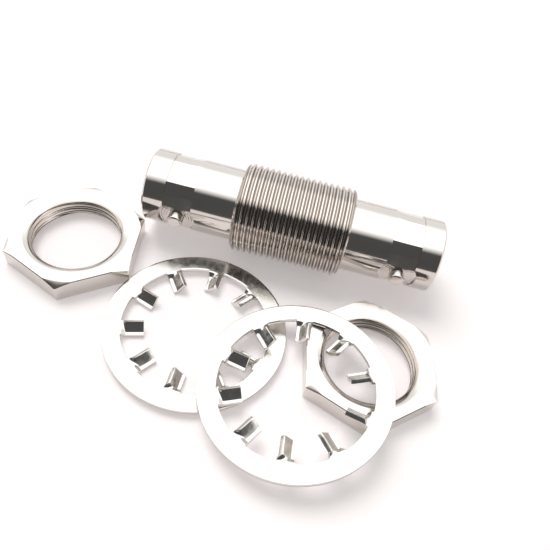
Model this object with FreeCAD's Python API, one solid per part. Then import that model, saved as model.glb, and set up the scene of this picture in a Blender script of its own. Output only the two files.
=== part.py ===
import FreeCAD, Part
import math
import os

# Coaxial bayonet adapter with two sockets, a threaded middle for a panel hole, and its loose hardware:
# two thin hex nuts and two lock washers with internal twisted teeth, lying beside the adapter.
# Millimetres. X runs along the adapter, Z is up, and the origin is on its axis at mid length.

# Adapter body
body_length = 39.0
shell_diameter = 9.65
shell_wall = 0.775
reference_depth = 8.4
mouth_edge_chamfer = 0.25
thread_length = 14.8
thread_diameter = 12.0
thread_pitch = 0.8
thread_form_share = 0.54
thread_end_chamfer = 0.5

# Milled band and bayonet lugs on each shell
lug_setback = 4.8
lug_diameter = 2.0
lug_span = 11.0
lug_angle = 12.0
band_width = 3.8
band_flats = 12
spot_face_diameter = 4.7
spot_face_depth = 0.3

# Inner pieces
sleeve_length = 2.4
sleeve_bore = 5.0
insulator_nose_diameter = 4.8
insulator_nose_height = 5.0
insulator_core_diameter = 6.4
contact_diameter = 2.1
contact_bore = 1.37
contact_bore_depth = 5.5
contact_slots = 4
contact_slot_width = 0.2
contact_slot_depth = 4.2
contact_setback = 0.25
fit_gap = 0.02

# Hex nuts
nut_across_flats = 15.7
nut_thickness = 2.8
nut_mouth_diameter = 13.1
nut_mouth_depth = 0.6
nut_corner_cut = 0.9
nut_corner_angle = 30.0

# Lock washers
washer_diameter = 22.3
washer_ring_width = 2.15
washer_thickness = 0.6
tooth_count = 10
tooth_tip_clearance = 0.2
tooth_foot = 0.5
tooth_web = 1.5
tooth_twist = 48.0
tooth_neck = 0.15
tooth_twist_run = 0.6

# Places of the loose pieces on the surface that everything lies on, each from the piece before it:
# the left nut beyond the left mouth, the left washer from a corner of that nut, the right washer from
# a tooth tip of the left one, and the right nut under the right washer's ring
left_nut_reach = 7.2
left_nut_offset = 9.0
left_nut_turn = 37.5
left_washer_gap = 0.2
left_washer_bearing = -24.6
left_washer_turn = 17.5
left_tooth_support_angle = -58.5
right_washer_bearing = -0.7
right_washer_turn = 22.0
right_ring_support_angle = 87.0
right_tooth_support_angle = -12.0
right_nut_bearing = 161.3
right_nut_inset = 1.0
right_nut_turn = 40.0
stack_gap = 0.05

# Sizes that follow from the ones above
half_length = body_length / 2
half_thread = thread_length / 2
shell_radius = shell_diameter / 2
bore_radius = shell_radius - shell_wall
thread_radius = thread_diameter / 2
floor_z = -thread_radius
lug_x = half_length - lug_setback
reference_x = half_length - reference_depth
sleeve_back_x = reference_x - sleeve_length
core_radius = insulator_core_diameter / 2
nut_corner_radius = nut_across_flats / 2 / math.cos(math.radians(30))
nut_bore_radius = thread_radius - thread_pitch * thread_form_share
nut_mouth_radius = nut_mouth_diameter / 2
ring_inner_radius = washer_diameter / 2 - washer_ring_width
tooth_tip_radius = thread_radius + tooth_tip_clearance
tooth_width = tooth_foot + tooth_web
half_sheet = washer_thickness / 2

ring_middle_radius = washer_diameter / 2 - washer_ring_width / 2

X_AXIS = FreeCAD.Vector(1, 0, 0)
Z_AXIS = FreeCAD.Vector(0, 0, 1)
ORIGIN = FreeCAD.Vector(0, 0, 0)


def at(start, distance, angle):
    """Point on the surface at a distance and a direction from another."""
    turn = math.radians(angle)
    return start + FreeCAD.Vector(math.cos(turn), math.sin(turn), 0) * distance


left_nut_place = FreeCAD.Vector(-half_length - left_nut_reach, -left_nut_offset, floor_z)
left_nut_corner = at(left_nut_place, nut_corner_radius, left_nut_turn - 60)
left_washer_place = at(left_nut_corner, washer_diameter / 2 + left_washer_gap, left_washer_bearing)
left_tooth_tip = at(left_washer_place, tooth_tip_radius, left_tooth_support_angle)
right_washer_place = at(left_tooth_tip, ring_middle_radius, right_washer_bearing)
right_ring_point = at(right_washer_place, ring_inner_radius, right_ring_support_angle)
right_tooth_tip = at(right_washer_place, tooth_tip_radius, right_tooth_support_angle)
right_nut_place = at(right_ring_point, right_nut_inset - nut_corner_radius, right_nut_bearing)


def turned(points):
    """Solid of revolution about X from a closed profile of (x, radius) points."""
    corners = [FreeCAD.Vector(x, radius, 0) for x, radius in points]
    face = Part.Face(Part.makePolygon(corners + corners[:1]))
    return face.revolve(ORIGIN, X_AXIS, 360)


def rod(radius, start_x, end_x):
    """Cylinder along X between two places."""
    return Part.makeCylinder(radius, end_x - start_x, FreeCAD.Vector(start_x, 0, 0), X_AXIS)


def mirrored(shape):
    """The same piece at the other end of the adapter, turned half round the upright axis."""
    copy = shape.copy()
    copy.rotate(ORIGIN, Z_AXIS, 180)
    return copy


def lug_direction(side):
    """Direction from the axis to a lug; side is -1 towards the viewer and 1 away from it."""
    angle = math.radians(lug_angle)
    return FreeCAD.Vector(0, side * math.cos(angle), -side * math.sin(angle))


def body_profile():
    """Half section of the turned body, without the milled work."""
    rim = mouth_edge_chamfer
    bevel = thread_end_chamfer
    outside = [
        (-half_length, shell_radius - rim),
        (-half_length + rim, shell_radius),
        (-half_thread, shell_radius),
        (-half_thread, thread_radius - bevel),
        (-half_thread + bevel, thread_radius),
    ]
    inside = [
        (-half_length, bore_radius + rim),
        (-half_length + rim, bore_radius),
        (-sleeve_back_x, bore_radius),
        (-sleeve_back_x, core_radius + fit_gap),
    ]
    right_outside = [(-x, radius) for x, radius in reversed(outside)]
    right_inside = [(-x, radius) for x, radius in inside]
    return outside + right_outside + right_inside + list(reversed(inside))


def band_cutter(center_x):
    """What the mill takes off a shell round the lugs: all that is outside a prism of flats."""
    flat_radius = shell_radius * math.cos(math.pi / band_flats)
    corner_radius = flat_radius / math.cos(math.pi / band_flats)
    corners = []
    for index in range(band_flats):
        angle = math.radians(-lug_angle) + (index + 0.5) * 2 * math.pi / band_flats
        corners.append(FreeCAD.Vector(0, corner_radius * math.cos(angle), corner_radius * math.sin(angle)))
    prism = Part.Face(Part.makePolygon(corners + corners[:1])).extrude(X_AXIS * band_width)
    prism.translate(FreeCAD.Vector(center_x - band_width / 2, 0, 0))
    ring = rod(thread_radius, center_x - band_width / 2, center_x + band_width / 2)
    return ring.cut(prism)


def spot_face_cutter(center_x, side):
    """Round flat milled about a lug."""
    direction = lug_direction(side)
    start = FreeCAD.Vector(center_x, 0, 0) + direction * (shell_radius - spot_face_depth)
    return Part.makeCylinder(spot_face_diameter / 2, lug_span / 2, start, direction)


def lug(center_x, side):
    """Bayonet lug, rooted in the shell wall."""
    direction = lug_direction(side)
    root = (shell_radius + bore_radius) / 2
    start = FreeCAD.Vector(center_x, 0, 0) + direction * root
    pin = Part.makeCylinder(lug_diameter / 2, lug_span / 2 - root, start, direction)
    return pin.cut(rod(bore_radius, center_x - lug_diameter, center_x + lug_diameter))


def connector_body():
    """One turned piece: two socket shells with their lugs, and the threaded middle at its crest size."""
    body = turned(body_profile())
    cutters = []
    lugs = []
    for end in (-1, 1):
        cutters.append(band_cutter(end * lug_x))
        for side in (-1, 1):
            cutters.append(spot_face_cutter(end * lug_x, side))
            lugs.append(lug(end * lug_x, side))
    return body.cut(Part.makeCompound(cutters)).fuse(lugs).removeSplitter()


def retaining_sleeve():
    """Pressed ring at the right end whose front face is the socket's reference plane."""
    outer = rod(bore_radius - fit_gap, sleeve_back_x + fit_gap, reference_x)
    return outer.cut(rod(sleeve_bore / 2, sleeve_back_x, half_length))


def insulator():
    """Right half of the insulation: a core held by the sleeve, and a nose round the contact."""
    nose = rod(insulator_nose_diameter / 2, 0, reference_x + insulator_nose_height)
    core = rod(core_radius, fit_gap / 2, sleeve_back_x)
    channel = rod(contact_diameter / 2 + fit_gap, -1, half_length)
    blank = nose.fuse(core).cut(channel)
    return blank.cut(Part.makeBox(half_length, body_length, body_length,
                                  FreeCAD.Vector(-half_length + fit_gap / 2, -half_length, -half_length)))


def centre_contact():
    """Rod with a slotted socket at each end, just inside the insulator's noses."""
    tip_x = reference_x + insulator_nose_height - contact_setback
    contact = rod(contact_diameter / 2, -tip_x, tip_x)
    cutters = []
    for end in (-1, 1):
        inner, outer = sorted((end * (tip_x - contact_bore_depth), end * (tip_x + 1)))
        cutters.append(rod(contact_bore / 2, inner, outer))
        for index in range(contact_slots // 2):
            slot = Part.makeBox(contact_slot_depth + 1, contact_slot_width, contact_diameter * 2)
            slot.translate(FreeCAD.Vector(0, -contact_slot_width / 2, -contact_diameter))
            slot.rotate(ORIGIN, X_AXIS, 45 + index * 360 / contact_slots)
            slot.translate(FreeCAD.Vector(tip_x - contact_slot_depth, 0, 0))
            cutters.append(slot if end > 0 else mirrored(slot))
    return contact.cut(Part.makeCompound(cutters))


def hex_nut(place, turn):
    """Thin nut lying flat, its cut corners up; the bore is at the size of the thread crests."""
    corners = []
    for index in range(6):
        angle = math.radians(turn + index * 60)
        corners.append(FreeCAD.Vector(math.cos(angle), math.sin(angle), 0) * nut_corner_radius)
    blank = Part.Face(Part.makePolygon(corners + corners[:1])).extrude(Z_AXIS * nut_thickness)
    drop = nut_corner_cut * math.tan(math.radians(nut_corner_angle))
    top_radius = nut_corner_radius - nut_corner_cut
    cone = Part.makeCone(nut_corner_radius, top_radius, drop, FreeCAD.Vector(0, 0, nut_thickness - drop))
    blank = blank.common(Part.makeCylinder(nut_corner_radius, nut_thickness - drop).fuse(cone))
    blank = blank.cut(Part.makeCylinder(nut_bore_radius, nut_thickness))
    blank = blank.cut(Part.makeCone(nut_mouth_radius, nut_bore_radius, nut_mouth_depth))
    blank = blank.cut(Part.makeCone(nut_bore_radius, nut_mouth_radius, nut_mouth_depth,
                                    FreeCAD.Vector(0, 0, nut_thickness - nut_mouth_depth)))
    blank.translate(place)
    return blank


def tooth_section(radius, twist):
    """Outline of a tooth across its length: a level foot and a web raised by the twist angle."""
    slope = math.radians(twist)
    rise = tooth_web * math.sin(slope)
    run = tooth_web * math.cos(slope)
    crease = (-run / 2 + tooth_foot / 2 * math.cos(slope), -rise / 2)
    tip = (crease[0] + run, rise / 2)
    heel = (crease[0] - tooth_foot, crease[1])
    miter = half_sheet * math.tan(slope / 2)
    lift = (-half_sheet * math.sin(slope), half_sheet * math.cos(slope))
    outline = [
        (heel[0], heel[1] - half_sheet),
        (crease[0] + miter, crease[1] - half_sheet),
        (tip[0] - lift[0], tip[1] - lift[1]),
        (tip[0] + lift[0], tip[1] + lift[1]),
        (crease[0] - miter, crease[1] + half_sheet),
        (heel[0], heel[1] + half_sheet),
    ]
    return [FreeCAD.Vector(radius, -across, up) for across, up in outline]


def facets(first, second):
    """Flat faces between two outlines of a tooth, folded along the same diagonal above and below."""
    faces = []
    count = len(first)
    for low in range(count):
        high = (low + 1) % count
        if low >= count / 2:
            corners = [(first[low], first[high], second[low]), (first[high], second[high], second[low])]
        else:
            corners = [(first[low], first[high], second[high]), (first[low], second[high], second[low])]
        faces += [Part.Face(Part.makePolygon(list(three) + [three[0]])) for three in corners]
    return faces


def tooth():
    """Tooth along X that leaves the ring flat, twists over a short run and ends straight."""
    neck_radius = ring_inner_radius - tooth_neck
    root = tooth_section(neck_radius, 0)
    bend = tooth_section(neck_radius - tooth_twist_run, tooth_twist)
    tip = tooth_section(tooth_tip_radius, tooth_twist)
    ends = [Part.Face(Part.makePolygon(outline + outline[:1])) for outline in (root, tip)]
    blade = Part.makeSolid(Part.makeShell(ends + facets(root, bend) + facets(bend, tip)))
    if blade.Volume < 0:
        blade.reverse()
    neck = Part.makeBox(tooth_neck + washer_ring_width / 4, tooth_width, washer_thickness,
                        FreeCAD.Vector(neck_radius, -tooth_width / 2, -half_sheet))
    return blade.fuse(neck)


def lock_washer(turn):
    """Flat ring with internal twisted teeth, about the middle of its sheet."""
    ring = Part.makeCylinder(washer_diameter / 2, washer_thickness, FreeCAD.Vector(0, 0, -half_sheet))
    ring = ring.cut(Part.makeCylinder(ring_inner_radius, washer_thickness, FreeCAD.Vector(0, 0, -half_sheet)))
    teeth = []
    for index in range(tooth_count):
        piece = tooth()
        piece.rotate(ORIGIN, Z_AXIS, turn + index * 360 / tooth_count)
        teeth.append(piece)
    return ring.fuse(teeth).removeSplitter()


def washer_on_floor():
    """Left washer, standing on the lower edges of its teeth."""
    washer = lock_washer(left_washer_turn)
    washer.translate(left_washer_place - Z_AXIS * washer.BoundBox.ZMin)
    return washer


def washer_on_top():
    """Right washer: its ring rests on a tooth tip of the left washer and on the right nut near a corner,
    and one of its own teeth rests on that nut."""
    washer = lock_washer(right_washer_turn)
    below = -washer.BoundBox.ZMin
    tooth_top = below + washer.BoundBox.ZMax
    first = left_tooth_tip + Z_AXIS * (tooth_top + half_sheet + stack_gap)
    second = right_tooth_tip + Z_AXIS * (nut_thickness + below + stack_gap)
    third = right_ring_point + Z_AXIS * (nut_thickness + half_sheet + stack_gap)
    normal = (second - first).cross(third - first).normalize()
    height = normal.dot(first - right_washer_place) / normal.z
    washer.Placement = FreeCAD.Placement(right_washer_place + Z_AXIS * height,
                                         FreeCAD.Rotation(Z_AXIS, normal))
    return washer


os.makedirs("parts", exist_ok=True)
right_sleeve = retaining_sleeve()
right_insulator = insulator()
nodes = {
    "connector_body": connector_body(),
    "centre_contact": centre_contact(),
    "insulator_left": mirrored(right_insulator),
    "insulator_right": right_insulator,
    "retaining_sleeve_left": mirrored(right_sleeve),
    "retaining_sleeve_right": right_sleeve,
    "hex_nut_left": hex_nut(left_nut_place, left_nut_turn),
    "hex_nut_right": hex_nut(right_nut_place, right_nut_turn),
    "lock_washer_left": washer_on_floor(),
    "lock_washer_right": washer_on_top(),
}
for name, shape in nodes.items():
    shape.exportStep("parts/" + name + ".step")
    print(name, len(shape.Solids), shape.isValid(), round(shape.Volume, 3), shape.BoundBox)
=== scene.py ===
"""Coaxial bayonet adapter with its loose hex nuts and toothed lock washers, on a pale table top.

The file is laid out as an add-on: the sizes and finishes are properties, each group of pieces has its
own operator, and main() runs them in order.
"""

import math

import bmesh
import bpy
import numpy as np
from mathutils import Matrix, Vector


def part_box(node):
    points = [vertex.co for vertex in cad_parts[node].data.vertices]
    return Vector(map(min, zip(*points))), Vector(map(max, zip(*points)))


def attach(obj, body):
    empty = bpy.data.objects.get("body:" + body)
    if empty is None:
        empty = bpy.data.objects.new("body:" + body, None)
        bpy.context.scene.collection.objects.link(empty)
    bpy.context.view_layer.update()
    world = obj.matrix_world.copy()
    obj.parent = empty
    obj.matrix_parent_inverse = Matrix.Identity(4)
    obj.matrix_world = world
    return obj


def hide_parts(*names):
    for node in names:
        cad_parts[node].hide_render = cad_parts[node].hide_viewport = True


bl_info = {
    "name": "Bayonet adapter with loose hardware",
    "version": (1, 0, 0),
    "blender": (4, 5, 0),
    "location": "View3D > Sidebar > Adapter",
    "description": "Builds a threaded coaxial adapter, two hex nuts and two toothed lock washers",
    "category": "Object",
}

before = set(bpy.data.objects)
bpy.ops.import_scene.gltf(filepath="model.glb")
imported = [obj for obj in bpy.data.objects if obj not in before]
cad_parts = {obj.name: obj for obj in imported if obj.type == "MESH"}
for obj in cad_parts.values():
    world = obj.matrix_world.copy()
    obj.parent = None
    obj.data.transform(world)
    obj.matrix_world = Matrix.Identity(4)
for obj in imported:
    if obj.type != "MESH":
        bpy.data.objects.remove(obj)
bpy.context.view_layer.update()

MM = 0.001
BODY_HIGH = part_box("connector_body")[1]
HALF_LENGTH = BODY_HIGH.x
THREAD_RADIUS = BODY_HIGH.z
FLOOR_Z = -THREAD_RADIUS

# How finely round pieces are drawn, and how near two points are when they count as one
BODY_SEGMENTS = 288
NUT_SEGMENTS = 576
LUG_SEGMENTS = 144
LUG_EDGE_STEPS = 4
THREAD_ROWS = 8.0
WELD = 2e-7
SECTOR_WELD = 2e-6
NEAR = 1e-6

# Edges that turn by more than this many degrees stay crisp, or are rounded
BODY_CREASE = 3.2
NUT_CREASE = 24
SHEET_CREASE = 40
BEVEL_LIMIT = 50

# A thread's depth for each millimetre of pitch, and the flat share of a turn at its crest and root
THREAD_DEPTH_SHARE = 0.54
THREAD_FLAT_SHARE = 0.125

# Marks that the cutter leaves round a lug: their radii in millimetres, and their shape, as steps
# outwards in millimetres with shares of the depth
TOOL_RINGS = (1.3, 1.65, 2.0)
TOOL_MARK_SHAPE = ((0.0, 0), (0.08, 1), (0.12, 1), (0.2, 0))

# Half the angle that one side of a nut spans, and the bevel on the edges of its sides
HALF_SIDE = math.pi / 6
NUT_BEVEL = 0.08 * MM

# A washer's rows and columns, the narrow rows at its ring's edges, the band at the rim that its place
# is read from, and half the width of a tooth's bend
TOOTH_COLUMNS = 16
TWIST_ROWS = 8
WEB_ROWS = 3
GAP_COLUMNS = 7
SECTION_SAMPLES = 240
RING_EDGE_ROW = 0.25 * MM
RIM_BAND = 0.15 * MM
TOOTH_BEND = 0.22 * MM

# Table top, and the large lamp: how many degrees wide it looks, and the way to it
TABLE_HALF = 3.0
KEY_SPREAD = 36
KEY_WAY = (-0.35, 0.35, 0.87)

# What the metal reflects: a vault along X, in metres, that only mirrored rays see
VAULT_STRENGTH = 1.85
VAULT_RADIUS = 0.18
VAULT_REACH = 0.4
VAULT_FOOT = -0.085
VAULT_STEPS = 72
VAULT_START = 5
VAULT_SPAN = 178

# Its greys by degrees, the same all along X, from the horizon in front, over the top, to the one behind
VAULT_GREYS = ((0, 0.05), (50, 0.05), (70, 1.0), (130, 1.0), (145, 0.6), (180, 0.6))


# Sizes and finishes that a user would change

def length(name, description, value):
    """A size property in metres, given in millimetres."""
    return bpy.props.FloatProperty(name=name, description=description, default=value * MM, min=0.0,
                                   precision=5, unit="LENGTH")


def offset(name, description, value):
    """A place in metres, given in millimetres, on either side of the origin."""
    return bpy.props.FloatProperty(name=name, description=description, default=value * MM,
                                   precision=5, unit="LENGTH")


def angle(name, description, radians):
    """An angle property."""
    return bpy.props.FloatProperty(name=name, description=description, default=radians, subtype="ANGLE")


def number(name, description, value, lowest=0.0):
    """A plain number."""
    return bpy.props.FloatProperty(name=name, description=description, default=value, min=lowest)


def whole(name, description, value):
    """A whole number from 3 up."""
    return bpy.props.IntProperty(name=name, description=description, default=value, min=3)


def tone(name, description, value):
    """A colour property."""
    return bpy.props.FloatVectorProperty(name=name, description=description, default=value, size=3,
                                         min=0.0, max=1.0, subtype="COLOR")


def share(name, description, value):
    """A number from 0 to 1."""
    return bpy.props.FloatProperty(name=name, description=description, default=value, min=0.0, max=1.0,
                                   subtype="FACTOR")


class AdapterSizes(bpy.types.PropertyGroup):
    """Sizes of the turned body."""
    shell_radius: length("Shell radius", "Outer radius of the two smooth shells", 4.825)
    bore_radius: length("Bore radius", "Radius inside the mouths", 4.05)
    core_radius: length("Core radius", "Radius of the narrower middle of the bore", 3.22)
    core_half: length("Core half length", "From mid length to where the bore widens", 8.7)
    rim: length("Mouth chamfer", "Chamfer inside and outside each mouth", 0.25)
    thread_half: length("Thread half length", "From mid length to a shoulder of the thread", 7.4)
    pitch: length("Thread pitch", "Distance from crest to crest", 0.8)
    thread_depth: length("Thread depth", "From crest to root", 0.432)
    thread_bevel: length("Thread end bevel", "Bevel at the two shoulders", 0.5)
    lug_setback: length("Lug setback", "From a mouth to the middle of its lugs", 4.7)
    lug_radius: length("Lug radius", "Radius of a bayonet lug", 1.0)
    lug_reach: length("Lug reach", "From the axis to the top of a lug", 5.5)
    lug_edge: length("Lug edge", "Rounding of a lug's top edge", 0.2)
    lug_angle: angle("Lug angle", "Turn of the lugs below level", math.radians(6.0))
    band_width: length("Band width", "Width of the milled band round the lugs", 3.8)
    band_floor: length("Band floor width", "Width of the level part of the band, at its mouth end", 2.2)
    band_step: length("Band step", "How far the level part's edges lie below the shell", 0.17)
    band_flats: whole("Band flats", "Flats on the milled band", 18)
    band_edge: angle("Band edge angle", "Turn of one edge of the flats", math.radians(13.0))
    tool_mark: length("Tool mark depth", "Depth of the ring marks about a lug", 0.02)
    spot_radius: length("Spot face radius", "Radius of the round flat about a lug", 2.5)
    spot_depth: length("Spot face depth", "How deep that flat is cut", 0.36)


class NutSizes(bpy.types.PropertyGroup):
    """Sizes of the hex nuts."""
    across_flats: length("Across flats", "Distance between opposite sides", 15.7)
    thickness: length("Thickness", "Height of a nut as it lies", 2.8)
    mouth_radius: length("Mouth radius", "Radius of the chamfer at the bore's mouth", 6.55)
    mouth_depth: length("Mouth depth", "Height of that chamfer", 0.42)
    corner_cut: length("Corner cut", "How far in the top bevel reaches at a corner", 0.9)
    corner_round: length("Corner rounding", "Radius of the upright corners", 0.25)
    corner_angle: angle("Corner angle", "Slope of the top bevel", math.radians(30.0))
    left_turn: angle("Left turn", "Turn of the left nut", math.radians(37.5))
    right_turn: angle("Right turn", "Turn of the right nut", math.radians(40.0))


class WasherSizes(bpy.types.PropertyGroup):
    """Sizes of the lock washers."""
    outer_radius: length("Outer radius", "Radius of the ring", 11.15)
    ring_width: length("Ring width", "Width of the flat ring", 2.15)
    thickness: length("Sheet thickness", "Thickness of the sheet", 0.6)
    tip_radius: length("Tooth tip radius", "Radius that the teeth reach in to", 6.2)
    teeth: whole("Teeth", "Teeth on a washer", 10)
    foot: length("Tooth foot", "Width of a tooth's level part", 0.5)
    web: length("Tooth web", "Width of a tooth's raised part", 1.5)
    neck: length("Tooth neck", "Length that stays flat at a tooth's root", 0.15)
    twist_run: length("Twist run", "Length over which a tooth twists", 0.6)
    twist: angle("Tooth twist", "Slope of the raised part", math.radians(48.0))
    edge: length("Edge rounding", "Rounding of the sheet's edges", 0.07)
    left_turn: angle("Left turn", "Turn of the left washer", math.radians(17.5))
    right_turn: angle("Right turn", "Turn of the right washer", math.radians(22.0))


class Finishes(bpy.types.PropertyGroup):
    """Colours and gloss."""
    nickel: tone("Nickel", "Colour of the plated body and nuts", (0.69, 0.65, 0.615))
    nickel_shade: tone("Nickel in hollows", "Colour of the duller plate", (0.62, 0.585, 0.545))
    # Painted shade: a dark colour mixed onto the thread flanks, where the grooves look dark from
    # reflection and shade
    painted_thread_shade: tone("Thread flanks", "Colour of the plate on a thread's slopes", (0.33, 0.28, 0.24))
    body_roughness: share("Body roughness", "Roughness of the turned body", 0.10)
    nut_roughness: share("Nut roughness", "Roughness of the nuts", 0.17)
    sheet: tone("Sheet nickel", "Colour of the plated washers", (0.70, 0.68, 0.65))
    sheet_roughness: share("Sheet roughness", "Roughness of the washers", 0.2)
    gold: tone("Contact", "Colour of the centre contact", (0.83, 0.62, 0.28))
    insulation: tone("Insulation", "Colour of the insulation", (0.83, 0.83, 0.8))
    table: tone("Table", "Colour of the table top", (0.95, 0.89, 0.885))


class StudioSizes(bpy.types.PropertyGroup):
    """The camera and the light."""
    lens: number("Lens", "Focal length in millimetres on a 36 mm sensor", 36.562, 1.0)
    camera_azimuth: angle("Camera azimuth", "Turn about upright", 0.034)
    camera_elevation: angle("Camera elevation", "Above the table", 0.885)
    camera_roll: angle("Camera roll", "Turn about the line of sight", 0.231)
    camera_distance: length("Camera distance", "From the camera to the point it looks at", 76.459)
    aim_x: offset("Aim X", "Place on the table that the camera looks at", -0.467)
    aim_y: offset("Aim Y", "Place on the table that the camera looks at", -5.202)
    fill: number("Fill light", "Strength of the light from all round", 0.38)
    key: number("Key light", "Strength of the large lamp", 0.52)
    glow: number("Table glow", "Light that the table adds for the eye", 0.28)


# Meshes

def placed(name, data):
    """An object in the scene with this name and data."""
    made = bpy.data.objects.new(name, data)
    bpy.context.scene.collection.objects.link(made)
    return made


def new_piece(name, vertices, faces):
    """A mesh object from points and faces."""
    mesh = bpy.data.meshes.new(name)
    mesh.from_pydata(vertices, [], faces)
    return placed(name, mesh)


def tidy_mesh(mesh):
    """Welds what meets, drops faces with no area, and turns every face outwards."""
    work = bmesh.new()
    work.from_mesh(mesh)
    bmesh.ops.remove_doubles(work, verts=work.verts, dist=WELD)
    bmesh.ops.dissolve_degenerate(work, edges=work.edges, dist=WELD)
    bmesh.ops.delete(work, geom=[edge for edge in work.edges if not edge.link_faces], context="EDGES")
    bmesh.ops.recalc_face_normals(work, faces=work.faces)
    work.to_mesh(mesh)
    work.free()
    mesh.update()


def check_closed(piece):
    """Raises an error if an edge of the piece doesn't have exactly two faces."""
    work = bmesh.new()
    work.from_mesh(piece.data)
    open_edges = sum(1 for edge in work.edges if len(edge.link_faces) != 2)
    work.free()
    if open_edges:
        raise RuntimeError("%s isn't closed: %d edges" % (piece.name, open_edges))


def evaluated(piece):
    """Puts the result of a piece's modifiers in its mesh and removes them."""
    bpy.context.view_layer.update()
    graph = bpy.context.evaluated_depsgraph_get()
    result = bpy.data.meshes.new_from_object(piece.evaluated_get(graph))
    piece.modifiers.clear()
    old = piece.data
    piece.data = result
    result.name = piece.name
    bpy.data.meshes.remove(old)


def join(piece, other):
    """Adds another piece's mesh to a piece and removes the other."""
    work = bmesh.new()
    work.from_mesh(piece.data)
    work.from_mesh(other.data)
    work.to_mesh(piece.data)
    work.free()
    bpy.data.objects.remove(other)


def tube(name, profile, rays):
    """Closed surface about X: a closed profile of (x, radius) points, along each (y, z) ray."""
    vertices = [(x, radius * y, radius * z) for x, radius in profile for y, z in rays]
    around = len(rays)
    faces = []
    for low in range(len(profile)):
        high = (low + 1) % len(profile)
        for index in range(around):
            after = (index + 1) % around
            faces.append((low * around + index, low * around + after,
                          high * around + after, high * around + index))
    return new_piece(name, vertices, faces)


def lathe(name, profile, around=BODY_SEGMENTS):
    """Surface turned about X from a closed profile of (x, radius) points."""
    turns = np.arange(around) * 2 * math.pi / around
    return tube(name, profile, [(math.cos(t), math.sin(t)) for t in turns])


def modified(piece, kind, **settings):
    """Runs one modifier on a piece."""
    step = piece.modifiers.new("work", kind)
    for key, value in settings.items():
        setattr(step, key, value)
    evaluated(piece)


def boolean(piece, cutter, operation):
    """Cuts or adds another solid and removes it."""
    modified(piece, "BOOLEAN", operation=operation, solver="EXACT", object=cutter)
    tidy_mesh(piece.data)
    bpy.data.objects.remove(cutter)


def smooth(mesh, crease):
    """Smooth shading, with edges that turn by more degrees than the crease kept crisp."""
    mesh.shade_smooth()
    mesh.set_sharp_from_angle(angle=math.radians(crease))


def weighted_normals(piece):
    """Lets the large faces set the shading, so that flat faces look flat."""
    modified(piece, "WEIGHTED_NORMAL", mode="FACE_AREA", weight=100, keep_sharp=True)


def finished(piece, node, material):
    """Gives a piece its material and its body, and hides the CAD node that it stands for."""
    mesh = piece.data
    mesh.materials.clear()
    mesh.materials.append(material)
    for face in mesh.polygons:
        face.material_index = 0
    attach(piece, "root")
    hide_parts(node)


# Node trees

class Tree:
    """A few short ways to fill a node tree."""

    def __init__(self, tree):
        self.tree = tree

    def add(self, kind, inputs=None, **settings):
        """A node with its settings, and with its inputs linked or set."""
        made = self.tree.nodes.new(kind)
        for key, value in settings.items():
            setattr(made, key, value)
        self.give(made, inputs or {})
        return made

    def give(self, node, inputs):
        """Links a node's inputs to other nodes' outputs, or sets them to values."""
        for key, value in inputs.items():
            if isinstance(value, bpy.types.NodeSocket):
                self.tree.links.new(value, node.inputs[key])
            else:
                node.inputs[key].default_value = value

    def math(self, operation, *values, clamp=False):
        """The result of a sum on sockets and numbers."""
        return self.add("ShaderNodeMath", dict(enumerate(values)),
                        operation=operation, use_clamp=clamp).outputs[0]

    def end(self, output, geometry, material):
        """Ends the tree: copies become real and get the material."""
        real = self.add("GeometryNodeRealizeInstances", {0: geometry})
        paint = self.add("GeometryNodeSetMaterial", {"Geometry": real.outputs[0], "Material": material})
        self.give(output, {"Geometry": paint.outputs[0]})
        return self.tree


def geometry_tree(name, numbers):
    """A geometry node tree with a geometry input, named number inputs and a material input."""
    tree = bpy.data.node_groups.new(name, "GeometryNodeTree")
    tree.interface.new_socket("Geometry", in_out="INPUT", socket_type="NodeSocketGeometry")
    for label in numbers:
        tree.interface.new_socket(label, in_out="INPUT", socket_type="NodeSocketFloat")
    tree.interface.new_socket("Material", in_out="INPUT", socket_type="NodeSocketMaterial")
    tree.interface.new_socket("Geometry", in_out="OUTPUT", socket_type="NodeSocketGeometry")
    kit = Tree(tree)
    return kit, kit.add("NodeGroupInput"), kit.add("NodeGroupOutput")


def run_tree(piece, tree, values):
    """Runs a geometry node tree on a piece, with its inputs set by their identifiers."""
    step = piece.modifiers.new("nodes", "NODES")
    step.node_group = tree
    for item in tree.interface.items_tree:
        if item.item_type == "SOCKET" and item.in_out == "INPUT" and item.name in values:
            step[item.identifier] = values[item.name]
    evaluated(piece)


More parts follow.
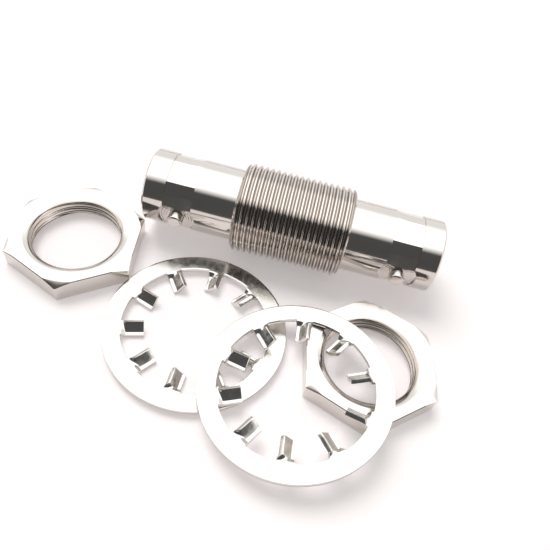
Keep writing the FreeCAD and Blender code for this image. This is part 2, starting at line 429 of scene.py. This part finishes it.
def thread_tree():
    """Helical thread about X. Its rows follow the helix, so crests and roots stay crisp."""
    kit, inputs, output = geometry_tree("Helical thread", [
        "Start", "Length", "Root radius", "Height", "Side", "Pitch", "End run", "End drop",
        "Rows per turn", "Turns", "Segments"])
    get = inputs.outputs
    rows = kit.math("MULTIPLY", get["Turns"], get["Rows per turn"])
    grid = kit.add("GeometryNodeMeshGrid", {
        "Size X": rows, "Size Y": get["Segments"], "Vertices X": kit.math("ADD", rows, 1.0),
        "Vertices Y": kit.math("ADD", get["Segments"], 1.0)})
    place = kit.add("ShaderNodeSeparateXYZ", {0: kit.add("GeometryNodeInputPosition").outputs[0]})
    row = kit.math("ROUND", kit.math("ADD", place.outputs[0], kit.math("MULTIPLY", rows, 0.5)))
    half_round = kit.math("MULTIPLY", get["Segments"], 0.5)
    column = kit.math("ROUND", kit.math("ADD", place.outputs[1], half_round))
    steps = kit.math("DIVIDE", row, get["Rows per turn"])
    turn = kit.math("DIVIDE", column, get["Segments"])
    along = kit.math("MULTIPLY", kit.math("SUBTRACT", kit.math("ADD", steps, turn), 1.0), get["Pitch"])
    along = kit.math("MINIMUM", kit.math("MAXIMUM", along, 0.0), get["Length"])
    half_row = kit.math("DIVIDE", 0.5, get["Rows per turn"])
    wave = kit.math("SUBTRACT", kit.math("FRACT", kit.math("ADD", steps, half_row)), 0.5)
    wave = kit.math("MULTIPLY", kit.math("ABSOLUTE", wave), 2.0)
    wave = kit.math("SUBTRACT", wave, THREAD_FLAT_SHARE)
    wave = kit.math("MULTIPLY", wave, 1 / (1 - 2 * THREAD_FLAT_SHARE), clamp=True)
    to_end = kit.math("MINIMUM", along, kit.math("SUBTRACT", get["Length"], along))
    limit = kit.math("DIVIDE", to_end, get["End run"])
    limit = kit.math("MULTIPLY", limit, kit.math("ADD", get["Height"], get["End drop"]))
    limit = kit.math("SUBTRACT", limit, get["End drop"])
    height = kit.math("MINIMUM", kit.math("MULTIPLY", wave, get["Height"]), limit)
    radius = kit.math("ADD", get["Root radius"], kit.math("MULTIPLY", height, get["Side"]))
    around = kit.math("MULTIPLY", turn, 2 * math.pi)
    where = kit.add("ShaderNodeCombineXYZ", {
        0: kit.math("ADD", get["Start"], along),
        1: kit.math("MULTIPLY", radius, kit.math("COSINE", around)),
        2: kit.math("MULTIPLY", radius, kit.math("SINE", around))})
    move = kit.add("GeometryNodeSetPosition", {
        "Geometry": grid.outputs["Mesh"], "Position": where.outputs[0]})
    weld = kit.add("GeometryNodeMergeByDistance", {"Geometry": move.outputs[0], "Distance": WELD})
    return kit.end(output, weld.outputs[0], get["Material"])


def ring_tree():
    """One sector of a washer, repeated about Z and welded."""
    kit, inputs, output = geometry_tree("Washer from one tooth", ["Teeth"])
    get = inputs.outputs
    points = kit.add("GeometryNodePoints", {"Count": get["Teeth"]})
    turn = kit.math("DIVIDE", 2 * math.pi, get["Teeth"])
    turn = kit.math("MULTIPLY", turn, kit.add("GeometryNodeInputIndex").outputs[0])
    angles = kit.add("ShaderNodeCombineXYZ", {2: turn})
    copies = kit.add("GeometryNodeInstanceOnPoints", {
        "Points": points.outputs[0], "Instance": get["Geometry"], "Rotation": angles.outputs[0]})
    real = kit.add("GeometryNodeRealizeInstances", {0: copies.outputs[0]})
    weld = kit.add("GeometryNodeMergeByDistance", {"Geometry": real.outputs[0], "Distance": SECTOR_WELD})
    return kit.end(output, weld.outputs[0], get["Material"])


# Materials

# The middle of a noise, the clouds in the plate, and how far its grain changes the gloss
NOISE_MIDDLE = (0.3, 0.7)
CLOUD_SCALE = 160.0
CLOUD_SHARE = 0.45
GLOSS_RANGE = (0.75, 1.3)


def material_base(name, metallic, roughness):
    """A material with one Principled shader, and its node kit."""
    material = bpy.data.materials.new(name)
    material.use_nodes = True
    kit = Tree(material.node_tree)
    shader = material.node_tree.nodes["Principled BSDF"]
    kit.give(shader, {"Metallic": metallic, "Roughness": roughness})
    return material, kit, shader


def object_place(kit, stretch=(1.0, 1.0, 1.0)):
    """Object coordinates, stretched."""
    place = kit.add("ShaderNodeTexCoord").outputs["Object"]
    return kit.add("ShaderNodeMapping", {"Scale": stretch, "Vector": place}).outputs[0]


def noise(kit, place, scale, detail=3.0):
    """Noise between 0 and 1 at a place."""
    return kit.add("ShaderNodeTexNoise", {"Vector": place, "Scale": scale, "Detail": detail}).outputs[0]


def spread(kit, value, low, high):
    """Maps the middle of a noise onto a range."""
    return kit.add("ShaderNodeMapRange", {
        "Value": value, "From Min": NOISE_MIDDLE[0], "From Max": NOISE_MIDDLE[1],
        "To Min": low, "To Max": high}).outputs[0]


def mixed(kit, value, first, second):
    """Mixes two colours, each a socket or four numbers."""
    return kit.add("ShaderNodeMix", {0: value, 6: first, 7: second}, data_type="RGBA").outputs[2]


def two_tones(kit, value, first, second):
    """Mixes two plain colours."""
    return mixed(kit, value, (*first, 1.0), (*second, 1.0))


def dimmed(colour, part):
    """A part of a colour."""
    return tuple(channel * part for channel in colour)


def bumped(kit, shader, value, depth):
    """Bump from a height between 0 and 1."""
    made = kit.add("ShaderNodeBump", {"Height": value, "Distance": depth, "Strength": 1.0})
    kit.give(shader, {"Normal": made.outputs[0]})


def plated(name, colour, shade, roughness, grain, depth, stretch=(1.0, 1.0, 1.0), painted_shade=None):
    """Plated metal: slight cloudiness, a fine grain in gloss and height, stretched where asked, and
    painted shade on thread flanks where a shade colour is given.
    """
    material, kit, shader = material_base(name, 1.0, roughness)
    cloud = noise(kit, object_place(kit), CLOUD_SCALE)
    base = two_tones(kit, spread(kit, cloud, 0.0, CLOUD_SHARE), colour, shade)
    # Painted shade: a darker colour mixed onto the thread flanks, most at the middle of each flank
    if painted_shade:
        slope = kit.add("ShaderNodeAttribute", attribute_name="painted_shade")
        base = mixed(kit, slope.outputs["Fac"], base, (*painted_shade, 1.0))
    marks = noise(kit, object_place(kit, stretch), grain, 4.0)
    gloss = spread(kit, marks, roughness * GLOSS_RANGE[0], roughness * GLOSS_RANGE[1])
    kit.give(shader, {"Base Color": base, "Roughness": gloss})
    bumped(kit, shader, marks, depth)
    return material


def body_plate(look):
    """Bright nickel on the turned body, with faint lathe lines round the axis and painted shade on the
    thread flanks.
    """
    return plated("nickel_on_turned_body", look.nickel, look.nickel_shade, look.body_roughness,
                  grain=260.0, depth=0.4e-6, stretch=(30.0, 1.0, 1.0), painted_shade=look.painted_thread_shade)


def nut_plate(look):
    """Tumbled nickel on the nuts, with painted shade on the thread flanks."""
    return plated("tumbled_nickel", look.nickel, look.nickel_shade, look.nut_roughness,
                  grain=900.0, depth=1.0e-6, painted_shade=look.painted_thread_shade)


def sheet_plate(look):
    """Nickel on stamped sheet, with a fine rolled grain."""
    return plated("nickel_on_sheet", look.sheet, look.nickel_shade, look.sheet_roughness,
                  grain=1500.0, depth=2.2e-6)


def sleeve_plate(look):
    """Nickel on the sleeves inside the sockets, with faint lathe lines."""
    return plated("nickel_on_sleeves", look.nickel, look.nickel_shade, 0.2,
                  grain=300.0, depth=0.4e-6, stretch=(20.0, 1.0, 1.0))


def contact_plate(look):
    """Gold plate on the centre contact, with faint lathe lines."""
    return plated("gold_plate", look.gold, dimmed(look.gold, 0.85), 0.16,
                  grain=400.0, depth=0.3e-6, stretch=(20.0, 1.0, 1.0))


def white_insulation(look):
    """Smooth white insulation with a faint mottle and faint lathe lines."""
    material, kit, shader = material_base("white_insulation", 0.0, 0.42)
    cloud = spread(kit, noise(kit, object_place(kit), 500.0), 0.0, 0.5)
    kit.give(shader, {
        "Subsurface Weight": 0.15, "Subsurface Radius": (0.001, 0.001, 0.0009),
        "Base Color": two_tones(kit, cloud, look.insulation, dimmed(look.insulation, 0.93))})
    bumped(kit, shader, noise(kit, object_place(kit, (25.0, 1.0, 1.0)), 300.0), 0.6e-6)
    return material


def table_top(look, glow):
    """White table top; its glow is for the eye and for reflections, and lights nothing."""
    material, kit, shader = material_base("table_top", 0.0, 0.7)
    cloud = spread(kit, noise(kit, object_place(kit), 30.0), 0.0, 1.0)
    kit.give(shader, {
        "Specular IOR Level": 0.2, "Emission Color": (1.0, 0.97, 0.97, 1.0),
        "Base Color": two_tones(kit, cloud, look.table, dimmed(look.table, 0.99)),
        "Emission Strength": kit.math("MULTIPLY", seen_rays(kit), glow)})
    return material


def seen_rays(kit):
    """1 for rays from the camera and for mirrored and refracted ones, and 0 for light on surfaces."""
    path = kit.add("ShaderNodeLightPath")
    both = kit.math("MAXIMUM", path.outputs["Is Camera Ray"], path.outputs["Is Glossy Ray"])
    return kit.math("MAXIMUM", both, path.outputs["Is Transmission Ray"])


# Pieces

def ring_place(node):
    """Centre and upward normal of a washer's sheet, from its CAD mesh."""
    points = np.array([v.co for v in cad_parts[node].data.vertices], float)
    centre = (points.min(0) + points.max(0)) / 2
    for _ in range(4):
        away = np.linalg.norm(points - centre, axis=1)
        rim = np.unique(np.round(points[away > away.max() - RIM_BAND], 8), axis=0)
        centre = rim.mean(0)
    normal = np.linalg.svd(rim - centre)[2][2]
    return Vector(centre), Vector(normal * np.sign(normal[2]))


def thread_piece(name, segments, sizes):
    """A thread surface from the tree, smooth all over."""
    piece = new_piece(name, [(0.0, 0.0, 0.0)], [])
    turns = math.ceil(sizes["Length"] / sizes["Pitch"]) + 1.0
    run_tree(piece, thread_tree(), {
        **sizes, "Rows per turn": THREAD_ROWS, "Turns": turns, "Segments": float(segments)})
    piece.data.shade_smooth()
    return piece


def crease_rings(mesh, stations, radius):
    """Keeps the edges crisp on the rings about X where a thread meets a flat face."""
    for edge in mesh.edges:
        ends = [mesh.vertices[index].co for index in edge.vertices]
        for station in stations:
            if all(abs(end.x - station) < NEAR and abs(end.yz.length - radius) < NEAR for end in ends):
                edge.use_edge_sharp = True


def mark_painted_shade(mesh, crest, root):
    """Stores the weight of the painted shade on a thread's flanks: how near each point about X lies to
    the middle of a flank.
    """
    painted_shade = mesh.attributes.new("painted_shade", "FLOAT", "POINT")
    for vertex, spot in zip(mesh.vertices, painted_shade.data):
        part = (vertex.co.yz.length - crest) / (root - crest)
        spot.value = 4 * part * (1 - part) if 0.0 < part < 1.0 else 0.0


class OBJECT_OT_adapter_body(bpy.types.Operator):
    """Turned body: two shells with milled bands and bayonet lugs, and a threaded middle"""
    bl_idname = "object.adapter_body"
    bl_label = "Adapter body"

    def execute(self, context):
        size = context.scene.adapter_sizes
        look = context.scene.adapter_finishes
        end = HALF_LENGTH
        rim = size.rim
        half = size.thread_half
        foot_radius = THREAD_RADIUS - size.thread_bevel
        outside = [(end, size.bore_radius + rim), (end, size.shell_radius - rim),
                   (end - rim, size.shell_radius), (half, size.shell_radius), (half, foot_radius)]
        inside = [(end - rim, size.bore_radius), (size.core_half, size.bore_radius),
                  (size.core_half, size.core_radius)]
        profile = ([(-x, radius) for x, radius in outside] + outside[::-1] + inside
                   + [(-x, radius) for x, radius in inside[::-1]])
        body = lathe("adapter_body", profile)
        tidy_mesh(body.data)
        for side in (-1, 1):
            self.mill(body, size, side * (end - size.lug_setback))
        smooth(body.data, BODY_CREASE)
        self.thread(body, size, foot_radius)
        tidy_mesh(body.data)
        check_closed(body)
        crease_rings(body.data, (-half, half), foot_radius)
        # Weights for the painted shade on the thread flanks
        mark_painted_shade(body.data, THREAD_RADIUS, THREAD_RADIUS - size.thread_depth)
        finished(body, "connector_body", body_plate(look))
        return {"FINISHED"}

    def mill(self, body, size, middle):
        """Cuts the band of flats and the spot faces, and sets the lugs, at one place along the body."""
        boolean(body, self.band_cutter(size, middle), "DIFFERENCE")
        for side in (-1, 1):
            turn = Matrix.Rotation(size.lug_angle, 4, "X") @ Matrix.Rotation(side * math.pi / 2, 4, "Z")
            place = Matrix.Translation((middle, 0, 0)) @ turn
            for name, profile, operation in (("spot_cutter", self.spot_face(size), "DIFFERENCE"),
                                             ("lug", self.lug(size), "UNION")):
                tool = lathe(name, profile, LUG_SEGMENTS)
                tool.data.transform(place)
                tidy_mesh(tool.data)
                boolean(body, tool, operation)

    def band_cutter(self, size, middle):
        """Ring with flats on its inside, level by the mouth and then rising to the shell."""
        step = 2 * math.pi / size.band_flats
        deep = size.shell_radius - size.band_step
        shallow = size.shell_radius - size.tool_mark
        inward = -math.copysign(1.0, middle)
        mouth_end = middle - inward * size.band_width / 2
        flats = [(mouth_end, deep), (mouth_end + inward * size.band_floor, deep),
                 (middle + inward * size.band_width / 2, shallow)]
        turns = [size.band_edge + k * step for k in range(size.band_flats)]
        clear = THREAD_RADIUS * 1.1
        cutter = tube("band_cutter", flats + [(x, clear) for x, _ in reversed(flats)],
                      [(-math.cos(t), math.sin(t)) for t in turns])
        tidy_mesh(cutter.data)
        return cutter

    def spot_face(self, size):
        """Profile of the cutter for the round flat about a lug, with its ring marks."""
        floor = size.shell_radius - size.spot_depth
        profile = [(floor, 0)]
        for ring in TOOL_RINGS:
            profile += [(floor - size.tool_mark * depth, (ring + step) * MM)
                        for step, depth in TOOL_MARK_SHAPE]
        return profile + [(floor, size.spot_radius), (THREAD_RADIUS, size.spot_radius),
                          (THREAD_RADIUS, 0)]

    def lug(self, size):
        """Profile of a lug, from inside the shell's wall to its rounded top edge."""
        root = (size.shell_radius + size.bore_radius) / 2
        edge = size.lug_edge
        turns = [k * math.pi / (2 * LUG_EDGE_STEPS) for k in range(LUG_EDGE_STEPS + 1)]
        rounding = [(size.lug_reach - edge * (1 - math.sin(t)),
                     size.lug_radius - edge * (1 - math.cos(t))) for t in turns]
        return [(root, 0), (root, size.lug_radius), *rounding, (size.lug_reach, 0)]

    def thread(self, body, size, foot_radius):
        """Replaces the plain middle with the threaded one."""
        work = bmesh.new()
        work.from_mesh(body.data)
        limit = size.thread_half * 0.999
        plain = []
        for face in work.faces:
            centre = face.calc_center_median()
            if abs(centre.x) < limit and centre.yz.length > size.shell_radius:
                plain.append(face)
        bmesh.ops.delete(work, geom=plain, context="FACES")
        work.to_mesh(body.data)
        work.free()
        root = THREAD_RADIUS - size.thread_depth
        join(body, thread_piece("body_thread", BODY_SEGMENTS, {
            "Start": -size.thread_half, "Length": size.thread_half * 2, "Pitch": size.pitch,
            "Root radius": root, "Height": size.thread_depth, "Side": 1.0,
            "End run": size.thread_bevel, "End drop": root - foot_radius}))


class OBJECT_OT_hex_nuts(bpy.types.Operator):
    """Two thin hex nuts with a bevelled top and a threaded bore"""
    bl_idname = "object.adapter_hex_nuts"
    bl_label = "Hex nuts"

    def execute(self, context):
        size = context.scene.nut_sizes
        material = nut_plate(context.scene.adapter_finishes)
        for side, turn in (("left", size.left_turn), ("right", size.right_turn)):
            self.nut(context, size, "hex_nut_" + side, turn, material)
        return {"FINISHED"}

    def reach(self, turn, apothem, corner_round):
        """From the middle to the side of a hexagon with rounded corners; a corner is at turn 0."""
        off_flat = turn % (2 * HALF_SIDE) - HALF_SIDE
        off_corner = HALF_SIDE - abs(off_flat)
        centre = (apothem - corner_round) / math.cos(HALF_SIDE)
        if math.tan(abs(off_flat)) * apothem <= centre * math.sin(HALF_SIDE):
            return apothem / math.cos(off_flat)
        return centre * math.cos(off_corner) + math.sqrt(
            corner_round ** 2 - (centre * math.sin(off_corner)) ** 2)

    def plain_nut(self, name, size):
        """The nut's outside and its two faces, about X, open at the bore."""
        apothem = size.across_flats / 2
        top_radius = apothem / math.cos(HALF_SIDE) - size.corner_cut
        slope = math.tan(size.corner_angle)
        top = size.thickness
        vertices = []
        for k in range(NUT_SEGMENTS):
            turn = 2 * math.pi * k / NUT_SEGMENTS
            reach = self.reach(turn, apothem, size.corner_round)
            inner = reach - NUT_BEVEL
            drop = max(inner - top_radius, 0.0) * slope
            rows = [(0.0, size.mouth_radius), (0.0, inner), (NUT_BEVEL, reach),
                    (top - drop - NUT_BEVEL, reach), (top - drop, inner),
                    (top, min(inner, top_radius)), (top, size.mouth_radius)]
            vertices += [(x, radius * math.cos(turn), radius * math.sin(turn)) for x, radius in rows]
        high = len(rows)
        faces = []
        for k in range(NUT_SEGMENTS):
            after = (k + 1) % NUT_SEGMENTS
            for row in range(high - 1):
                faces.append((k * high + row, after * high + row,
                              after * high + row + 1, k * high + row + 1))
        return new_piece(name, vertices, faces)

    def nut(self, context, size, node, turn, material):
        """One nut, built about X and laid flat."""
        nut = self.plain_nut(node.removeprefix("hex_"), size)
        smooth(nut.data, NUT_CREASE)
        top = size.thickness
        pitch = context.scene.adapter_sizes.pitch
        minor = THREAD_RADIUS - pitch * THREAD_DEPTH_SHARE
        join(nut, thread_piece("nut_thread", NUT_SEGMENTS, {
            "Start": 0.0, "Length": top, "Pitch": pitch,
            "Root radius": THREAD_RADIUS, "Height": THREAD_RADIUS - minor, "Side": -1.0,
            "End run": size.mouth_depth, "End drop": size.mouth_radius - THREAD_RADIUS}))
        tidy_mesh(nut.data)
        check_closed(nut)
        crease_rings(nut.data, (0.0, top), size.mouth_radius)
        # Weights for the painted shade on the thread flanks
        mark_painted_shade(nut.data, minor, THREAD_RADIUS)
        weighted_normals(nut)
        low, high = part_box(node)
        upright = Matrix(((0, 1, 0, 0), (0, 0, 1, 0), (1, 0, 0, 0), (0, 0, 0, 1)))
        place = Matrix.Translation(((low.x + high.x) / 2, (low.y + high.y) / 2, low.z))
        nut.data.transform(place @ Matrix.Rotation(turn, 4, "Z") @ upright)
        finished(nut, node, material)


class OBJECT_OT_lock_washers(bpy.types.Operator):
    """Two lock washers, each a flat ring with internal twisted teeth"""
    bl_idname = "object.adapter_lock_washers"
    bl_label = "Lock washers"

    def execute(self, context):
        size = context.scene.washer_sizes
        material = sheet_plate(context.scene.adapter_finishes)
        for side, turn in (("left", size.left_turn), ("right", size.right_turn)):
            node = "lock_washer_" + side
            washer = self.sector("washer_" + side, size)
            run_tree(washer, ring_tree(), {"Teeth": float(size.teeth)})
            tidy_mesh(washer.data)
            check_closed(washer)
            modified(washer, "BEVEL", width=size.edge, segments=2, limit_method="ANGLE",
                     angle_limit=math.radians(BEVEL_LIMIT))
            smooth(washer.data, SHEET_CREASE)
            weighted_normals(washer)
            centre, normal = ring_place(node)
            tilt = Vector((0, 0, 1)).rotation_difference(normal).to_matrix().to_4x4()
            washer.data.transform(Matrix.Translation(centre) @ tilt @ Matrix.Rotation(turn, 4, "Z"))
            finished(washer, node, material)
        return {"FINISHED"}

    def section(self, size, twist, columns):
        """Middle line and normals of a tooth's cross section, from its foot to its raised edge."""
        width = size.foot + size.web
        step = width / SECTION_SAMPLES
        at = (np.arange(SECTION_SAMPLES) + 0.5) * step
        bent = np.clip((at - size.foot + TOOTH_BEND) / (2 * TOOTH_BEND), 0, 1)
        slope = twist * bent * bent * (3 - 2 * bent)
        across = np.concatenate([[0], np.cumsum(np.cos(slope) * step)])
        rise = np.concatenate([[0], np.cumsum(np.sin(slope) * step)])
        slopes = np.concatenate([[0], slope])
        crease_across = -size.web * math.cos(twist) / 2 + size.foot / 2 * math.cos(twist)
        across += crease_across - size.foot
        rise -= size.web * math.sin(twist) / 2
        where = np.round(np.array(columns) / width * SECTION_SAMPLES).astype(int)
        return across[where], rise[where], slopes[where]

    def sector(self, name, size):
        """One tooth with its share of the ring, about the X direction."""
        half = size.thickness / 2
        inner = size.outer_radius - size.ring_width
        width = size.foot + size.web
        columns = [c * width / TOOTH_COLUMNS for c in range(TOOTH_COLUMNS + 1)]
        neck = [math.asin(-(c - width / 2) / inner) for c in columns]
        edge = math.pi / size.teeth
        gap = GAP_COLUMNS
        before = [edge + (neck[0] - edge) * k / gap for k in range(gap)]
        after = [neck[-1] + (-edge - neck[-1]) * (k + 1) / gap for k in range(gap)]
        turns = before + neck + after
        stations = self.stations(size, inner)
        vertices = []
        faces = []

        def point(x, y, z):
            """A vertex's number."""
            vertices.append((x, y, z))
            return len(vertices) - 1

        def wall(low, high):
            """A face on the sheet's edge, from one pair of points to the next."""
            faces.append((low[-1], high[-1], high[1], low[1]))

        radii = (size.outer_radius, size.outer_radius - RING_EDGE_ROW, inner + RING_EDGE_ROW, inner)
        ring = [[{up: point(radius * math.cos(turn), radius * math.sin(turn), up * half)
                  for up in (-1, 1)} for radius in radii] for turn in turns]
        tooth = [[column[-1] for column in ring[gap:gap + len(columns)]]]
        for radius, twist in stations:
            across, rise, slopes = self.section(size, twist, columns)
            tooth.append([{up: point(radius, -(across[c] - up * half * math.sin(slopes[c])),
                                     rise[c] + up * half * math.cos(slopes[c])) for up in (-1, 1)}
                          for c in range(len(columns))])
        for k, (this, then) in enumerate(zip(ring, ring[1:])):
            for up in (-1, 1):
                for row in range(len(radii) - 1):
                    faces.append((this[row][up], then[row][up], then[row + 1][up], this[row + 1][up]))
            wall(this[0], then[0])
            if not gap <= k < gap + TOOTH_COLUMNS:
                wall(this[-1], then[-1])
        for this, then in zip(tooth, tooth[1:]):
            for c in range(TOOTH_COLUMNS):
                for up in (-1, 1):
                    faces.append((this[c][up], this[c + 1][up], then[c + 1][up], then[c][up]))
            wall(this[0], then[0])
            wall(this[-1], then[-1])
        for c in range(TOOTH_COLUMNS):
            wall(tooth[-1][c], tooth[-1][c + 1])
        return new_piece(name, vertices, faces)

    def stations(self, size, inner):
        """Radii along a tooth, each with its twist."""
        neck = inner - size.neck
        rows = [(neck, 0.0)]
        for k in range(1, TWIST_ROWS + 1):
            part = k / TWIST_ROWS
            rows.append((neck - size.twist_run * part, size.twist * part * part * (3 - 2 * part)))
        end = rows[-1][0]
        for k in range(1, WEB_ROWS + 1):
            rows.append((end + (size.tip_radius - end) * k / WEB_ROWS, size.twist))
        return rows


class OBJECT_OT_inner_pieces(bpy.types.Operator):
    """Finishes for the pieces inside the sockets, whose CAD shapes stay"""
    bl_idname = "object.adapter_inner_pieces"
    bl_label = "Inner pieces"

    def execute(self, context):
        look = context.scene.adapter_finishes
        sleeve = sleeve_plate(look)
        insulation = white_insulation(look)
        finish = {
            "centre_contact": contact_plate(look),
            "insulator_left": insulation,
            "insulator_right": insulation,
            "retaining_sleeve_left": sleeve,
            "retaining_sleeve_right": sleeve,
        }
        for node, material in finish.items():
            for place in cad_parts[node].material_slots:
                place.material = material
        return {"FINISHED"}


class OBJECT_OT_stage(bpy.types.Operator):
    """Table top, studio light and the camera"""
    bl_idname = "object.adapter_stage"
    bl_label = "Stage"

    def execute(self, context):
        studio = context.scene.studio_sizes
        look = context.scene.adapter_finishes
        corners = ((-1, -1), (1, -1), (1, 1), (-1, 1))
        table = new_piece("table", [(x * TABLE_HALF, y * TABLE_HALF, FLOOR_Z) for x, y in corners],
                          [(0, 1, 2, 3)])
        table.data.materials.append(table_top(look, studio.glow))
        self.room(context.scene, studio)
        self.lamp(studio)
        self.vault()
        self.camera(context.scene, studio)
        return {"FINISHED"}

    def room(self, scene, studio):
        """White all round for the eye and for reflections, and a plain level of light on surfaces."""
        world = bpy.data.worlds.new("studio")
        scene.world = world
        world.use_nodes = True
        kit = Tree(world.node_tree)
        mix = kit.add("ShaderNodeMix", {0: seen_rays(kit), 2: studio.fill, 3: 1.0}, data_type="FLOAT")
        kit.give(world.node_tree.nodes["Background"], {
            "Color": (1.0, 1.0, 1.0, 1.0), "Strength": mix.outputs[0]})

    def lamp(self, studio):
        """One large soft lamp, far off above and behind on the left."""
        data = bpy.data.lights.new("key_lamp", "SUN")
        data.angle = math.radians(KEY_SPREAD)
        data.energy = studio.key * math.pi
        lamp = placed("key_lamp", data)
        lamp.rotation_euler = Vector(KEY_WAY).normalized().to_track_quat("Z", "Y").to_euler()
        lamp.visible_glossy = False

    def vault(self):
        """Vault that only reflections show: dark in front, bright overhead, and pale behind."""
        turns = [math.radians(VAULT_START + VAULT_SPAN * k / VAULT_STEPS)
                 for k in range(VAULT_STEPS + 1)]
        arch = [(VAULT_FOOT, FLOOR_Z)]
        arch += [(-VAULT_RADIUS * math.cos(t), VAULT_RADIUS * math.sin(t)) for t in turns]
        vertices = [(x, y, z) for y, z in arch for x in (-VAULT_REACH, VAULT_REACH)]
        faces = [(2 * k, 2 * k + 1, 2 * k + 3, 2 * k + 2) for k in range(len(arch) - 1)]
        faces += [tuple(range(0, 2 * len(arch), 2)), tuple(range(1, 2 * len(arch), 2))]
        vault = new_piece("studio_vault", vertices, faces)
        vault.data.materials.append(self.vault_tones())
        for rays in ("camera", "diffuse", "shadow", "transmission"):
            setattr(vault, "visible_" + rays, False)

    def vault_tones(self):
        """The vault's plain greys, by height."""
        material = bpy.data.materials.new("studio_vault")
        material.use_nodes = True
        nodes = material.node_tree.nodes
        nodes.remove(nodes["Principled BSDF"])
        kit = Tree(material.node_tree)
        place = kit.add("ShaderNodeSeparateXYZ", {0: kit.add("ShaderNodeTexCoord").outputs["Object"]})
        turn = kit.math("ARCTAN2", place.outputs[2], kit.math("MULTIPLY", place.outputs[1], -1.0))
        greys = kit.add("ShaderNodeValToRGB", {0: kit.math("DIVIDE", turn, math.pi)})
        elements = greys.color_ramp.elements
        elements.remove(elements[1])
        for index, (degrees, grey) in enumerate(VAULT_GREYS):
            element = elements[0] if index == 0 else elements.new(degrees / 180)
            element.position = degrees / 180
            element.color = (grey, grey, grey, 1.0)
        glow = kit.add("ShaderNodeEmission", {"Color": greys.outputs[0], "Strength": VAULT_STRENGTH})
        kit.give(nodes["Material Output"], {"Surface": glow.outputs[0]})
        return material

    def camera(self, scene, studio):
        """The photograph's place, direction and roll."""
        azimuth, elevation, roll = studio.camera_azimuth, studio.camera_elevation, studio.camera_roll
        back = Vector((math.sin(azimuth) * math.cos(elevation), -math.cos(azimuth) * math.cos(elevation),
                       math.sin(elevation)))
        level = Vector((math.cos(azimuth), math.sin(azimuth), 0))
        upright = back.cross(level)
        right = level * math.cos(roll) + upright * math.sin(roll)
        above = upright * math.cos(roll) - level * math.sin(roll)
        data = bpy.data.cameras.new("camera")
        data.sensor_width = 36.0
        data.lens = studio.lens
        data.clip_start = 0.001
        data.clip_end = 20.0
        camera = placed("camera", data)
        turn = Matrix((right, above, back)).transposed().to_4x4()
        aim = Vector((studio.aim_x, studio.aim_y, FLOOR_Z))
        camera.matrix_world = Matrix.Translation(aim + back * studio.camera_distance) @ turn
        scene.camera = camera
        scene.view_settings.view_transform = "Standard"


class VIEW3D_PT_adapter(bpy.types.Panel):
    """Buttons for the pieces and the stage"""
    bl_idname = "VIEW3D_PT_adapter"
    bl_label = "Adapter"
    bl_space_type = "VIEW_3D"
    bl_region_type = "UI"
    bl_category = "Adapter"

    def draw(self, context):
        for operator in OPERATORS:
            self.layout.operator(operator.bl_idname)


GROUPS = {
    "adapter_sizes": AdapterSizes,
    "nut_sizes": NutSizes,
    "washer_sizes": WasherSizes,
    "adapter_finishes": Finishes,
    "studio_sizes": StudioSizes,
}
OPERATORS = (
    OBJECT_OT_adapter_body,
    OBJECT_OT_hex_nuts,
    OBJECT_OT_lock_washers,
    OBJECT_OT_inner_pieces,
    OBJECT_OT_stage,
)


def register():
    """Registers the properties, the operators and the panel."""
    for name, group in GROUPS.items():
        bpy.utils.register_class(group)
        setattr(bpy.types.Scene, name, bpy.props.PointerProperty(type=group))
    for operator in OPERATORS:
        bpy.utils.register_class(operator)
    bpy.utils.register_class(VIEW3D_PT_adapter)


def unregister():
    """Takes back what register() did."""
    bpy.utils.unregister_class(VIEW3D_PT_adapter)
    for operator in reversed(OPERATORS):
        bpy.utils.unregister_class(operator)
    for name, group in reversed(GROUPS.items()):
        delattr(bpy.types.Scene, name)
        bpy.utils.unregister_class(group)


def main():
    """Builds everything."""
    register()
    bpy.ops.object.adapter_body()
    bpy.ops.object.adapter_hex_nuts()
    bpy.ops.object.adapter_lock_washers()
    bpy.ops.object.adapter_inner_pieces()
    bpy.ops.object.adapter_stage()


if __name__ == "__main__":
    main()
